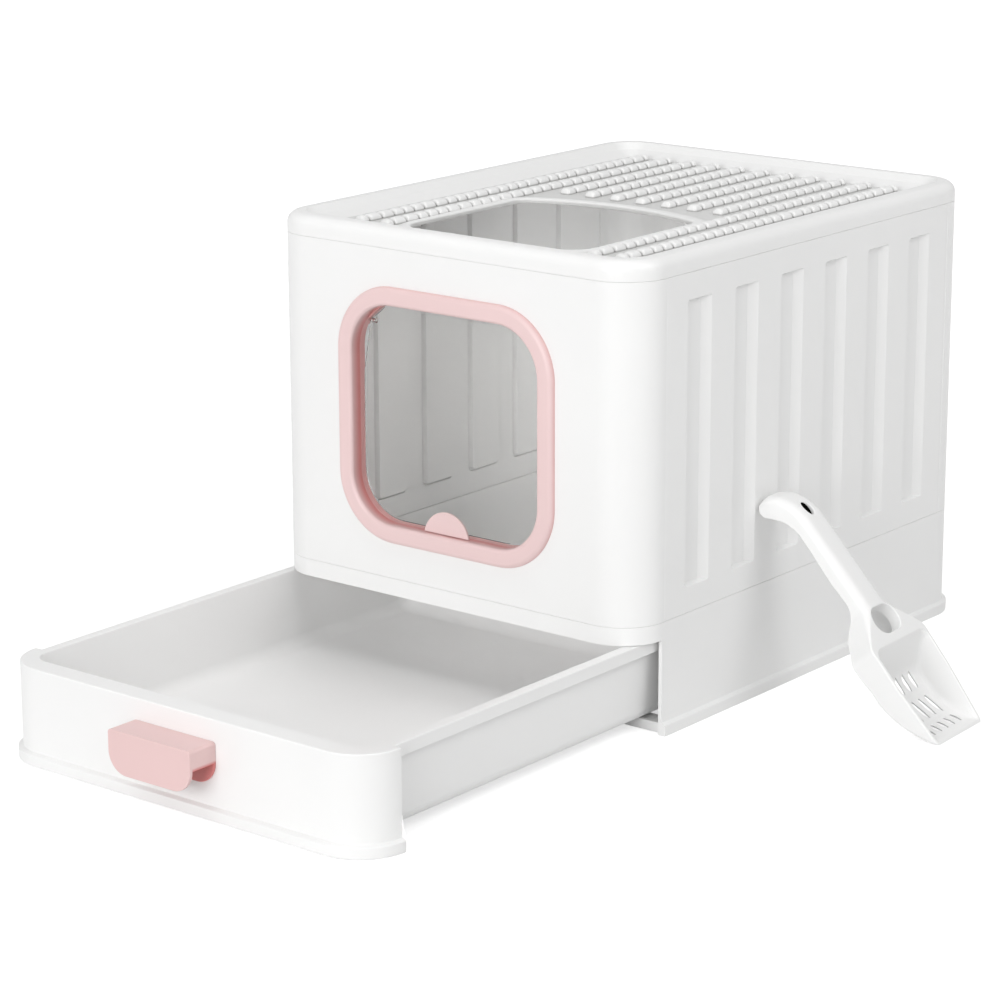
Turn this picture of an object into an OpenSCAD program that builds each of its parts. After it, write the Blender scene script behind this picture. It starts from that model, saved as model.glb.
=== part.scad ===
// Enclosed litter box: ribbed housing, swing flap, top exit lid and a front litter drawer.
// X runs across the front, Y runs from the front to the back, Z runs up from the floor.
// The origin is the middle of the front sill's underside.

/* [Housing] */
// Width of the housing
body_w = 352; // [320:1:400]
// Depth of the housing
body_d = 458; // [430:1:500]
// Height at which the panels end and the lid sits
wall_top = 345; // [335:1:400]
// Height of the seam between base and panels
base_top = 88; // [86:1:96]
// Outer radius of the vertical corners
corner_r = 36.2; // [34:0.1:40]
// Wall thickness of the mouldings
wall = 3; // [2.6:0.1:3.4]
// Height and overhang of the foot flange
foot_h = 10; // [8:0.5:14]
foot_out = 3.6; // [2:0.1:5]

/* [Side channels] */
// Number of pressed channels in each side panel
channel_count = 6; // [2:1:6]
// Distance from one channel to the next
channel_pitch = 60; // [50:1:60]
// Width of a channel at the surface
channel_w = 30; // [26:1:34]
// Depth of a channel
channel_depth = 4; // [2:0.5:5]
// Lower and upper end of the channels
channel_z = [108, 325];

/* [Lid] */
// Height of the lid's rim over the floor
lid_top = 360.4; // [356:0.2:420]
// Height of the recessed floor of the lid
lid_floor = 350; // [348:0.5:410]
// Height of a bump over the lid's floor
bump_h = 4; // [2:0.5:5]
// Distance between rows of bumps
bump_pitch = 25; // [22:1:25]

/* [Doorway] */
// Width and height of the doorway inside the bezel
door_w = 179; // [160:1:190]
door_h = 171; // [150:1:180]
// Height of the doorway's lower edge
door_z = 131; // [125:1:135]
// Width of the bezel's ring
bezel_w = 14.5; // [12:0.5:16]
// Angle at which the flap hangs
flap_angle = 0; // [-80:5:80]

/* [Drawer] */
// How far the drawer stands out of the housing
drawer_out = 295.5; // [0:0.5:295.5]
// Height of the drawer's rim
drawer_top = 73.9; // [70:0.1:74]
// Length of the drawer from its front to its rear lip
drawer_len = 445; // [420:1:448]

/* [Handle] */
// Width, height and depth of the cup handle
handle_w = 78.5; // [70:0.5:100]
handle_h = 32; // [28:1:36]
handle_d = 26; // [22:1:30]

/* [Scoop] */
// Width of the bowl at its widest
scoop_w = 81; // [76:1:82]
// Angle at which the scoop leans
scoop_lean = 46.5; // [45:0.5:48]

/* [Hidden] */
$fn = 96;

white = [0.95, 0.95, 0.94];
pink = [0.93, 0.79, 0.79];
clear = [0.8, 0.86, 0.88, 0.5];
steel = [0.75, 0.75, 0.77];

gap = 0.3;              // clearance between pieces that move against each other
sill_y = 40.5;          // front face of the sill, from the housing's front plane
sill_d = 16;
sill_h = 8;
frame_y = sill_y + sill_d / 2;
mouth_top = drawer_top + 0.5;
lap = 1.5;              // thickness of a half-lap in the wall
lap_h = 4;
seam_w = 2.7;           // shallow rebate along each vertical seam
seam_depth = 0.5;
channel_h = channel_z[1] - channel_z[0];
channel_r = 7;
back_out = 3;           // how far a channel's back stands into the housing
back_grow = 3.5;        // and how far it reaches past the channel on each side
side_len = body_d - 2 * corner_r;

door_r = 38;            // corner radius of the doorway
bezel_h = 4.5;
bezel_in = 3;           // rounding of the bezel's inner edge
bezel_out = 4.5;        // rounding of its outer edge
tunnel = 2;             // wall of the bezel's tunnel
tunnel_end = 7;
retainer_w = 8;
collar_end = 12.6;      // rear end of the retainer's collar
collar_t = 4;
pin_r = 1.2;
pin_z = door_z + 155;
pin_y = 10.2;
flap_t = 2;
flap_w = door_w - 4.2;
flap_z = door_z + 1.2;
flap_top = door_z + door_h - 4.3;
tab_w = 43;
tab_h = 17.6;
tab_t = 2;

// ---- outlines ----

// Rounded rectangle, centred on x, with its front edge on y = 0
module rounded_rect(w, d, r) {
    translate([-w / 2 + r, 0]) square([w - 2 * r, d]);
    translate([-w / 2, r]) square([w, d - 2 * r]);
    for (x = [-1, 1])
        for (y = [r, d - r])
            translate([x * (w / 2 - r), y]) circle(r);
}

// Rectangle with its own radius at the lower and at the upper corners
module door_shape(w, h, low_r, high_r) {
    intersection() {
        rounded_rect(w, h + 2 * low_r, low_r);
        translate([-w / 2, 0]) square([w, low_r]);
    }
    intersection() {
        translate([0, -high_r]) rounded_rect(w, h + high_r, high_r);
        translate([-w / 2, low_r]) square([w, h]);
    }
}

// The housing seen from above, drawn in by inset
module plan(inset = 0) {
    translate([0, inset]) rounded_rect(body_w - 2 * inset, body_d - 2 * inset, corner_r - inset);
}

// Wall of constant thickness that follows the plan
module plan_wall(z, h, outer, inner) {
    translate([0, 0, z]) linear_extrude(h) difference() {
        plan(outer);
        plan(inner);
    }
}

// Carries a profile round a rounded rectangle; the profile's x is measured from the corner axis
module edge_sweep(w, d, r) {
    run = [w - 2 * r, d - 2 * r];
    for (side = [0, 1]) mirror([side, 0, 0]) {
        translate([run.x / 2, d - r, 0]) rotate([90, 0, 0]) linear_extrude(run.y) children();
        translate([run.x / 2, d - r, 0]) rotate_extrude(angle = 90) children();
        translate([run.x / 2, r, 0]) rotate([0, 0, -90]) rotate_extrude(angle = 90) children();
    }
    translate([run.x / 2, r, 0]) rotate([90, 0, -90]) linear_extrude(run.x) children();
    translate([-run.x / 2, d - r, 0]) rotate([90, 0, 90]) linear_extrude(run.x) children();
}

// Points of an arc from angle a to angle b
function arc(c, r, a, b, n = 8) = [for (i = [0:n]) c + r * [cos(a + (b - a) * i / n), sin(a + (b - a) * i / n)]];

// Moves a piece from the housing's front plane to the part's origin
module placed() {
    translate([0, -frame_y, 0]) children();
}

// ---- housing ----

// Parts of the housing's plan as blocks: front corners, rear corners or one side between them
module front_zone() {
    translate([-body_w, -corner_r, -1]) cube([2 * body_w, 2 * corner_r, lid_top]);
}

module rear_zone() {
    translate([-body_w, body_d - corner_r, -1]) cube([2 * body_w, 2 * corner_r, lid_top]);
}

module side_zone() {
    translate([0, corner_r, -1]) cube([body_w, side_len, lid_top]);
}

// Flange round the foot, sloped on top
module foot_profile(low = 0) {
    polygon([[corner_r - 1, low], [corner_r + foot_out, low], [corner_r + foot_out, foot_h - 2],
             [corner_r + foot_out - 1, foot_h - 0.6], [corner_r - 1, foot_h + 0.4]]);
}

module sill() {
    translate([-body_w / 2 + wall / 2, sill_y, 0]) cube([body_w - wall, sill_d, sill_h]);
}

module base_housing() color(white) placed() difference() {
    union() {
        plan_wall(0, base_top, 0, wall);
        edge_sweep(body_w, body_d, corner_r) foot_profile();
        sill();
        translate([0, body_d, 0]) mirror([0, 1, 0]) sill();
    }
    plan_wall(base_top - lap_h, lap_h + 1, lap, wall + 1);
    translate([-body_w, -corner_r, -1]) cube([2 * body_w, 2 * corner_r, mouth_top + 1]);
}

// Panel wall with the tongue that drops behind the base's outer half
module panel_wall() {
    plan_wall(base_top, wall_top - base_top, 0, wall);
    plan_wall(base_top - lap_h + 1, lap_h, lap + 0.1, wall - 0.4);
}

module front_panel() color(white) placed() difference() {
    intersection() {
        panel_wall();
        front_zone();
    }
    door_cut();
}

// Hole in the front wall that takes the bezel's tunnel
module door_cut() {
    grow = tunnel + 0.2;
    translate([0, corner_r, door_z - grow]) rotate([90, 0, 0]) linear_extrude(2 * corner_r)
        rounded_rect(door_w + 2 * grow, door_h + 2 * grow, door_r + grow);
}

module back_panel() color(white) placed() intersection() {
    panel_wall();
    rear_zone();
}

// Space of a pressed channel, with sloped sides and ends; y is measured from its middle
module channel_block() {
    top = channel_w / 2;
    floor_half = top - 8;
    end = 3;
    intersection() {
        linear_extrude(channel_h) polygon([[0.01, -top], [0.01, top],
            [-channel_depth, floor_half], [-channel_depth, -floor_half]]);
        rotate([90, 0, 0]) translate([0, 0, -top]) linear_extrude(2 * top)
            polygon([[0.01, 0], [0.01, channel_h], [-channel_depth, channel_h - end], [-channel_depth, end]]);
        translate([-2 * channel_depth, 0, 0]) rotate([90, 0, 90]) linear_extrude(3 * channel_depth)
            rounded_rect(channel_w, channel_h, channel_r);
    }
}

// Raised field that backs a channel on the inner face
module channel_back() {
    translate([-back_out, 0, -back_grow]) rotate([90, 0, 90]) linear_extrude(back_out + 0.5)
        rounded_rect(channel_w + 2 * back_grow, channel_h + 2 * back_grow, channel_r);
}

module at_channels() {
    first = (body_d - (channel_count - 1) * channel_pitch) / 2;
    for (i = [0:channel_count - 1])
        translate([0, first + i * channel_pitch, 0]) children();
}

module side_panel() {
    lip = 8;
    difference() {
        union() {
            intersection() {
                panel_wall();
                side_zone();
            }
            translate([body_w / 2 - wall, 0, channel_z[0]]) at_channels() channel_back();
            // lips that reach behind the front and back panels
            intersection() {
                plan_wall(base_top + 4, wall_top - base_top - 16, wall, wall + lap);
                translate([0, corner_r - lip, 0]) cube([body_w, side_len + 2 * lip, lid_top]);
            }
        }
        translate([body_w / 2, 0, channel_z[0]]) at_channels() channel_block();
        for (y = [corner_r - 1, body_d - corner_r - seam_w])
            translate([body_w / 2 - seam_depth, y, base_top - lap_h - 1])
                cube([wall, seam_w + 1, lid_top]);
    }
}

module right_panel() color(white) placed() side_panel();

module left_panel() color(white) placed() mirror([1, 0, 0]) side_panel();

// ---- lid ----

lid_low = wall_top + 0.2;
lid_fillet = 9;
rim_w = 15;             // from the outer face to the inner edge of the rim
crease_w = 21;          // from the outer face to the crease in the inner slope
foot_w = 30;            // from the outer face to the foot of the inner slope
lid_wall = 2.5;
rib_t = 1.6;             // locating rib that drops inside the walls
rib_h = 5;
hole_w = 171;
hole_front = 49.5;
hole_side = 194;        // y at which the hole's sides turn into its rear arc
hole_apex = 216;
hole_r = 22;
bow_r = (pow(hole_w / 2, 2) + pow(hole_apex - hole_side, 2)) / (2 * (hole_apex - hole_side));
bow_y = hole_apex - bow_r;
rear_c = [hole_w / 2 - hole_r, bow_y + sqrt(pow(bow_r - hole_r, 2) - pow(hole_w / 2 - hole_r, 2))];
lip_rise = 2;           // height and width of the lip round the exit hole
lip_w = 2.4;

// Section through the lid's rim and its locating rib; x is measured from the corner axis
module lid_profile() {
    rib = corner_r - wall - gap - 0.2;
    polygon(concat(
        [[corner_r, lid_low]],
        arc([corner_r - lid_fillet, lid_top - lid_fillet], lid_fillet, 0, 90),
        [[corner_r - rim_w, lid_top], [corner_r - crease_w, lid_floor + 5], [corner_r - foot_w, lid_floor],
         [corner_r - foot_w, lid_floor - lid_wall], [corner_r - crease_w + 1.5, lid_floor + 2.5],
         [corner_r - rim_w + 1.5, lid_top - lid_wall], [corner_r - lid_fillet, lid_top - lid_wall],
         [rib - rib_t, lid_top - 8], [rib - rib_t, wall_top - rib_h], [rib, wall_top - rib_h], [rib, lid_low]]));
}

// Outline of the exit hole, grown by grow: rounded corners and a bowed rear edge
module hole_plan(grow = 0) {
    half = hole_w / 2 + grow;
    intersection() {
        translate([0, hole_front - grow]) rounded_rect(2 * half, hole_apex, hole_r + grow);
        translate([-half, 0]) square([2 * half, rear_c.y]);
    }
    for (x = [-1, 1])
        translate([x * rear_c.x, rear_c.y]) circle(hole_r + grow);
    intersection() {
        translate([0, bow_y]) circle(bow_r + grow, $fn = 180);
        translate([0, bow_y]) polygon([[0, 0], 2 * [rear_c.x, rear_c.y - bow_y], 2 * [-rear_c.x, rear_c.y - bow_y]]);
    }
}

module lid() color(white) placed() {
    edge_sweep(body_w, body_d, corner_r) lid_profile();
    plate = body_w - 2 * foot_w;
    difference() {
        union() {
            translate([0, foot_w, lid_floor - lid_wall]) linear_extrude(lid_wall)
                rounded_rect(plate, body_d - 2 * foot_w, corner_r - foot_w);
            translate([0, 0, lid_floor - 1]) linear_extrude(lip_rise + 1) hole_plan(lip_w);
        }
        translate([0, 0, lid_floor - 2 * lid_wall]) linear_extrude(lid_wall * 4) hole_plan();
    }
    for (i = [-5:5])
        translate([i * bump_pitch, 0, 0]) bump_row(abs(i) > 3 ? long_row : short_row);
}

bump_w = 8;
bump_gap = 1.6;         // width of the notch between two bumps
long_row = [48, 421];
short_row = [242.5, 421];
first_notch = 57;       // y of the first notch; the notches repeat in groups of five
notch_steps = [0, 14.7, 29.4, 41.5, 53.5];
notch_group = 65.6;

// Places of the notches between two ends of a row
function notches(span) = [for (k = [0:5], step = notch_steps)
    let (y = first_notch + k * notch_group + step) if (y > span[0] + 3 && y < span[1] - 3) y];

// Side view of one bump from a to b, with bevelled shoulders
function bump(a, b) =
    let (s = min(1.8, (b - a) / 3), top = lid_floor + bump_h)
    [[a, lid_floor + 1], [a + s / 4, top - 1], [a + s, top], [b - s, top], [b - s / 4, top - 1], [b, lid_floor + 1]];

// Row of bumps on a low ridge
module bump_row(span) {
    ends = concat([span[0] - bump_gap / 2], notches(span), [span[1] + bump_gap / 2]);
    outline = [for (i = [0:len(ends) - 2]) each bump(ends[i] + bump_gap / 2, ends[i + 1] - bump_gap / 2)];
    translate([-bump_w / 2, 0, 0]) rotate([90, 0, 90]) linear_extrude(bump_w)
        polygon(concat([[span[0], lid_floor - 0.5]], outline, [[span[1], lid_floor - 0.5]]));
}

// ---- doorway ----

// Turns a plan drawing into a front view, with its depth running towards the back
module upright(y) {
    translate([0, y, 0]) mirror([0, 1, 0]) rotate([90, 0, 0]) children();
}

// Section through the bezel: ring with rounded edges, and tunnel; y points out of the front face
module bezel_profile() {
    polygon(concat(
        [[door_r + tunnel, -tunnel_end], [door_r + tunnel, 0]],
        arc([door_r + bezel_w - bezel_out, bezel_h - bezel_out], bezel_out, 0, 90),
        arc([door_r + bezel_in, bezel_h - bezel_in], bezel_in, 90, 180),
        [[door_r, -tunnel_end]]));
}

// Section through the retainer: plate behind the front panel, and the collar that continues the tunnel
module retainer_profile() {
    plate_x = door_r + tunnel + 0.1;
    polygon([[plate_x, -wall], [door_r + retainer_w + tunnel, -wall], [door_r + retainer_w + tunnel, -tunnel_end],
             [door_r + collar_t, -tunnel_end], [door_r + collar_t, -collar_end], [door_r, -collar_end],
             [door_r, -tunnel_end - 0.1], [plate_x, -tunnel_end - 0.1]]);
}

// Straight cut across the collar's upper corners, from the top down to the pins
chord = [[door_w / 2 - 22.7, door_z + door_h - 3.4], [door_w / 2 - 6.3, door_z + door_h - 16.6]];
chord_out = [0.63, 0.78];
lug_x = [door_w / 2 - 6.5, door_w / 2 + 0.5];
lug_end = 14;
lug_h = 4.5;
pin_x = [door_w / 2 - 14, door_w / 2 - 1.6];
knuckle = [door_w / 2 - 15, door_w / 2 - 10.7];
knuckle_r = 2.2;

module pin_axis(x, length, r) {
    translate([x, pin_y, pin_z]) rotate([0, 90, 0]) cylinder(h = length, r = r);
}

module door_sweep() {
    translate([0, 0, door_z - bezel_w]) rotate([90, 0, 0])
        edge_sweep(door_w + 2 * bezel_w, door_h + 2 * bezel_w, door_r + bezel_w) children();
}

module window_bezel() color(pink) placed() door_sweep() bezel_profile();

module window_retainer() color(pink) placed() difference() {
    union() {
        door_sweep() retainer_profile();
        for (side = [0, 1]) mirror([side, 0, 0]) {
            // lug that takes the pin
            difference() {
                translate([lug_x[0], tunnel_end, pin_z - lug_h])
                    cube([lug_x[1] - lug_x[0], lug_end - tunnel_end, 2 * lug_h]);
                upright(0) linear_extrude(2 * lug_end)
                    translate([0, door_z]) rounded_rect(door_w, door_h, door_r);
            }
            upright(tunnel_end + 0.1) linear_extrude(collar_end - tunnel_end - 0.1)
                polygon([chord[0], chord[1], chord[1] + 2 * chord_out, chord[0] + 2 * chord_out]);
        }
    }
    for (side = [0, 1]) mirror([side, 0, 0])
        pin_axis(pin_x[0], pin_x[1] - pin_x[0] + 0.5, pin_r + 0.05);
}

// Turns the flap's pieces about the hinge axis
module hung() {
    translate([0, pin_y, pin_z]) rotate([flap_angle, 0, 0]) translate([0, -pin_y, -pin_z]) children();
}

// Outline of the flap: rounded below, drawn in towards the pins and cut off at the upper corners
module flap_plan() {
    side = flap_w / 2;
    intersection() {
        translate([0, flap_z]) rounded_rect(flap_w, 2 * flap_top, door_r);
        polygon([[-side, 0], [side, 0], [side, pin_z - 41], [side - 6.6, pin_z - 0.5], [side - 21.4, flap_top],
                 [21.4 - side, flap_top], [6.6 - side, pin_z - 0.5], [-side, pin_z - 41]]);
    }
}

module flap() color(clear) placed() hung() difference() {
    union() {
        upright(pin_y - flap_t / 2) linear_extrude(flap_t) flap_plan();
        for (side = [0, 1]) mirror([side, 0, 0]) pin_axis(knuckle[0], knuckle[1] - knuckle[0], knuckle_r);
    }
    for (side = [0, 1]) mirror([side, 0, 0]) pin_axis(pin_x[0], pin_x[1] - pin_x[0], pin_r);
}

module flap_pin() color(steel) placed() hung() pin_axis(pin_x[0], pin_x[1] - pin_x[0], pin_r);

module flap_pin_right() flap_pin();

module flap_pin_left() mirror([1, 0, 0]) flap_pin();

// Half disc with its flat side down, on a stem that stands on the flap
module flap_tab() color(pink) placed() hung() {
    r = (pow(tab_w / 2, 2) + pow(tab_h, 2)) / (2 * tab_h);
    front = 0.4;
    upright(front) linear_extrude(tab_t) translate([0, flap_z - 0.5]) intersection() {
        translate([0, tab_h - r]) circle(r);
        translate([-tab_w, 0]) square([2 * tab_w, tab_w]);
    }
    stem = pin_y - flap_t / 2 - front - tab_t;
    translate([-9, front + tab_t - 0.5, flap_z + 1.5]) cube([18, stem + 0.5, 8]);
}

// ---- drawer ----

lip_x = 169.6;          // half width over the drawer's rim
lip_front = 9.4;        // from the drawer's front face to its rim sweep
lip_h = 9.9;
basin_r = 24;
drawer_low = sill_h + gap;
floor_t = 3.2;
wrap_end = corner_r - gap;

module out() {
    translate([0, -drawer_out, 0]) children();
}

// Section through the basin's wall; x is measured from the corner axis
module basin_profile() {
    z0 = drawer_low;
    z1 = drawer_low + floor_t;
    polygon(concat(
        [[0, z0]],
        arc([0.4, z0 + 14], 14, -90, 0),
        [[18.6, drawer_top - lip_h], [basin_r, drawer_top - lip_h], [basin_r, drawer_top], [15.4, drawer_top]],
        arc([0.4, z1 + 10.6], 10.6, 0, -90),
        [[0, z1]]));
}

module drawer_tray() color(white) placed() out() {
    low = 0.5;
    basin_len = drawer_len - lip_front;
    translate([0, lip_front, 0]) {
        edge_sweep(2 * lip_x, basin_len, basin_r) basin_profile();
        translate([-lip_x + basin_r, basin_r, drawer_low])
            cube([2 * (lip_x - basin_r), basin_len - 2 * basin_r, floor_t]);
    }
    intersection() {
        union() {
            plan_wall(low, drawer_top - low, 0, wall);
            edge_sweep(body_w, body_d, corner_r) foot_profile(low);
            // flat top that joins the front to the basin
            translate([0, 0, drawer_top - wall]) linear_extrude(wall) difference() {
                plan();
                translate([0, lip_front + 5]) rounded_rect(2 * lip_x - 10, basin_len, basin_r - 5);
            }
        }
        translate([-body_w, -corner_r, 0]) cube([2 * body_w, corner_r + wrap_end, lid_top]);
    }
}

handle_z = 26;
handle_r = 16.7;
handle_skirt = 42.7;    // height at which the cup's side walls end

module handle_shape(inset = 0) {
    translate([0, handle_z + inset])
        door_shape(handle_w - 2 * inset, handle_h - 2 * inset, handle_r - inset, max(2.5 - inset, 0.5));
}

module drawer_handle() color(pink) placed() out() upright(-handle_d) {
    linear_extrude(wall) handle_shape();
    translate([0, 0, handle_d - 2]) linear_extrude(2) handle_shape();
    linear_extrude(handle_d) intersection() {
        difference() {
            handle_shape();
            handle_shape(wall);
        }
        translate([-handle_w, handle_skirt]) square([2 * handle_w, handle_h]);
    }
}

// ---- scoop ----

// The scoop lies along x with its tip on the origin; z points out of the bowl
bowl_len = 83.5;        // from the tip to the rear edge of the bowl's opening
bowl_depth = 22.5;
bowl_mid = 52;
bowl_r = (pow(bowl_mid, 2) + pow(bowl_depth, 2)) / (2 * bowl_depth);
bowl_rear_r = 14;       // rounding between the bowl's floor and its sloped rear wall
rear_slope = 50;
rim_line = [[122, 6.6], [bowl_len, 5.2], [50, 3]];
grip_w = 30;
grip_t = 11.5;
grip_top = 8;
bend_x = 195;
bend_r = 46;
nose_r = 8.3;
nose_a = 43;            // direction of the nose from the centre of the bend
shell = 2.2;
thumb = [102, 3];       // middle of the thumb hole, and half the length of its straight sides
thumb_r = 11.5;
hang_x = 203.6;
scoop_tip = [347.4, 178.4];
scoop_yaw = 3;

// Side view of the outer form: belly, heel, grip, bend and nose
module scoop_side() {
    tip_a = atan2(-bowl_r + bowl_depth, -bowl_mid);
    bend_c = [bend_x, grip_top - bend_r];
    polygon(concat(
        arc([bowl_mid, bowl_r - bowl_depth], bowl_r, tip_a, -90, 12),
        arc([99.5, -7.5], 12, -86, -55, 4),
        arc([128.6, -26.2], 20, 125, 90, 5),
        arc(bend_c, bend_r - grip_t, 90, nose_a, 6),
        arc(bend_c, bend_r, nose_a, 90, 6),
        rim_line));
    translate(bend_c + (bend_r - nose_r) * [cos(nose_a), sin(nose_a)]) circle(nose_r);
}

// Top view of the outer form, drawn in by inset
module scoop_top(inset = 0) {
    w = scoop_w / 2 - inset;
    g = grip_w / 2 - inset;
    nose_x = 232;
    half = concat(
        [[-1, w - 6], [50, w - 0.6]],
        arc([82, w - 9], 9, 90, 45, 5),
        arc([118.5, g + 9], 9, 225, 270, 5),
        arc([nose_x - 12, g - 12 + inset], 12 - inset, 90, 0, 6));
    last = len(half) - 1;
    polygon(concat(half, [for (i = [0:last]) [half[last - i].x, -half[last - i].y]]));
}

// Carries a side view across the whole width
module across() {
    rotate([90, 0, 0]) translate([0, 0, -scoop_w]) linear_extrude(2 * scoop_w) children();
}

// Carries a top view over the whole height
module through() {
    translate([0, 0, -scoop_w]) linear_extrude(2 * scoop_w) children();
}

module scoop_form() intersection() {
    across() scoop_side();
    through() scoop_top();
}

// Space inside the bowl, open at the top
module bowl_space() {
    rear_c = [bowl_len - 27.9, bowl_rear_r + shell - bowl_depth];
    intersection() {
        through() scoop_top(shell);
        across() polygon(concat(
            [[-2, 10]],
            arc([bowl_mid, bowl_r - bowl_depth], bowl_r - shell, 222, 270, 12),
            arc(rear_c, bowl_rear_r, -90, rear_slope - 90, 6),
            [[bowl_len + 4, 10]]));
    }
}

// Space under the grip and the shoulders, open below
module grip_space() intersection() {
    through() scoop_top(shell);
    across() polygon([[bowl_len + 1, 2.8], [bend_x - 7, 5.3], [bend_x - 7, -bowl_depth - 1],
                      [bowl_len - 14, -bowl_depth - 1], [bowl_len - 14, -15]]);
}

// Outline of the thumb hole, grown by grow
module thumb_plan(grow = 0) {
    for (side = [-1, 1]) translate([thumb.x, side * thumb.y]) circle(thumb_r + grow);
    translate([thumb.x - thumb_r - grow, -thumb.y]) square([2 * (thumb_r + grow), 2 * thumb.y]);
}

// Each row is the middle of its slots and their length
module slots() {
    pitch = 10.1;
    slot_w = 4.4;
    for (row = [[55.2, 14], [32, 17], [13.4, 8.5]])
        for (i = [-2:2])
            translate([row[0] - row[1] / 2, i * pitch - slot_w / 2, -scoop_w])
                cube([row[1], slot_w, scoop_w - 4]);
}

module scoop_body() difference() {
    union() {
        difference() {
            scoop_form();
            bowl_space();
            grip_space();
        }
        // collar round the thumb hole
        intersection() {
            scoop_form();
            translate([0, 0, -2]) linear_extrude(grip_w) thumb_plan(shell);
        }
    }
    slots();
    through() thumb_plan();
    through() {
        for (side = [-3, 3]) translate([hang_x, side]) circle(4);
        translate([hang_x - 4, -3]) square([8, 6]);
    }
}

module scoop() color(white) placed()
    translate(scoop_tip) rotate([0, 0, scoop_yaw]) rotate([0, scoop_lean, 0])
        rotate([0, 0, 180]) scoop_body();

base_housing();
front_panel();
back_panel();
left_panel();
right_panel();
window_bezel();
window_retainer();
flap();
flap_pin_left();
flap_pin_right();
flap_tab();
lid();
drawer_tray();
drawer_handle();
scoop();
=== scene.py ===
import math

import bmesh
import bpy
import numpy as np
from mathutils import Matrix, Vector


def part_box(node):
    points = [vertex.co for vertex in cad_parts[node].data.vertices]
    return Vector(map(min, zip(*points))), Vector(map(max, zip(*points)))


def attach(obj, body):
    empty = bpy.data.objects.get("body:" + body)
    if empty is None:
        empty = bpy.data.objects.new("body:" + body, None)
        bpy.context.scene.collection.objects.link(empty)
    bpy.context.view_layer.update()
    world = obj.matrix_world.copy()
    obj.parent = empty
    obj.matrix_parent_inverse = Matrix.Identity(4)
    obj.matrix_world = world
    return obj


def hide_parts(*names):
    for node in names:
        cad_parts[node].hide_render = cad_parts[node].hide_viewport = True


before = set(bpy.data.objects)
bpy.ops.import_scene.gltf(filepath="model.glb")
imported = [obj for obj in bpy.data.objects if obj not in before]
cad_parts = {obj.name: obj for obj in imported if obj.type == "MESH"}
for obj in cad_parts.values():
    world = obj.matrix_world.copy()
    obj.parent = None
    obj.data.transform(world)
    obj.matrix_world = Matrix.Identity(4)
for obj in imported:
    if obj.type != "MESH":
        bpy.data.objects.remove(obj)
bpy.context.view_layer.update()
print("frame loaded:", len(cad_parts), "nodes")

mm = 0.001
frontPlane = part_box("front_panel")[0].y  # the housing's front; sizes below are in mm from it

cameraView = {
    "place": (1.5184, -1.8231, 0.8097),  # from the front plane, in metres
    "turn": 38.8, "lift": 15.33, "roll": -0.19,
    "lens": 117.68, "sensor": 36.0, "reach": 50,
}


def addObject(name, data):
    thing = bpy.data.objects.new(name, data)
    bpy.context.scene.collection.objects.link(thing)
    return thing


def addCamera(view):
    # the back axis points from the object to the lens, right and up follow, and all turn a little about it
    turn, lift, roll = (math.radians(view[k]) for k in ("turn", "lift", "roll"))
    back = Vector((math.sin(turn) * math.cos(lift), -math.cos(turn) * math.cos(lift), math.sin(lift)))
    right = (-back).cross(Vector((0, 0, 1))).normalized()
    axes = Matrix((right, right.cross(-back), back)).transposed() @ Matrix.Rotation(roll, 3, "Z")
    data = bpy.data.cameras.new("camera")
    data.lens, data.sensor_width, data.clip_end = view["lens"], view["sensor"], view["reach"]
    camera = addObject("camera", data)
    spot = Vector(view["place"]) + Vector((0, frontPlane, 0))
    camera.matrix_world = Matrix.Translation(spot) @ axes.to_4x4()
    bpy.context.scene.camera = camera


studio = {
    "fill": 0.42, "mirrored": 0.7,  # strength of the even light, and of the white seen in reflections
    "lamps": {  # place, aim, size and power of each soft box, and its spread where it is narrow
        "frontBox": ((0.8, -5.1, 1.6), (0.0, 0.0, 0.2), 3.2, 148),
        "rightBox": ((2.6, 0.35, 2.6), (0.15, 0.15, 0.2), 2.4, 34.5),
        "topBox": ((0.0, 0.0, 3.3), (0.0, 0.0, 0.0), 2.4, 14.5),
        "trayBox": ((-0.05, -0.45, 1.35), (-0.04, -0.25, 0.0), 0.3, 0.085, 45),
        "cabinBox": ((0.05, 0.24, 0.22), (-0.05, 0.44, 0.25), 0.18, 0.15),
    },
    "floorSize": 30.0, "paper": 0.78,
    "glow": (0.5, 2.4, 0.58, 1.0),  # the floor's glow goes from the third to the fourth between two radii
}


def addLamp(name, place, aim, size, power, spread=180):
    data = bpy.data.lights.new(name, "AREA")
    data.shape, data.size, data.energy, data.spread = "DISK", size, power, math.radians(spread)
    lamp = addObject(name, data)
    lamp.location = place
    lamp.rotation_euler = (Vector(aim) - Vector(place)).to_track_quat("-Z", "Y").to_euler()
    lamp.visible_camera = False


def feed(tree, node, inputs):
    # links an input to the output given for it, or sets it to the value given for it
    for socket, value in inputs.items():
        if isinstance(value, bpy.types.NodeSocket):
            tree.links.new(value, node.inputs[socket])
        else:
            node.inputs[socket].default_value = value


def addNode(tree, kind, inputs, operation=None):
    # a new shader node's outputs
    node = tree.nodes.new("ShaderNode" + kind)
    if operation:
        node.operation = operation
    feed(tree, node, inputs)
    return node.outputs


def remap(tree, value, fromLow, fromHigh, toLow=0.0, toHigh=1.0):
    limits = {"From Min": fromLow, "From Max": fromHigh, "To Min": toLow, "To Max": toHigh}
    return addNode(tree, "MapRange", {"Value": value, **limits})["Result"]


def objectSpot(tree):
    return addNode(tree, "TexCoord", {})["Object"]


def noise(tree, scale):
    return addNode(tree, "TexNoise", {"Vector": objectSpot(tree), "Scale": scale})["Fac"]


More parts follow.
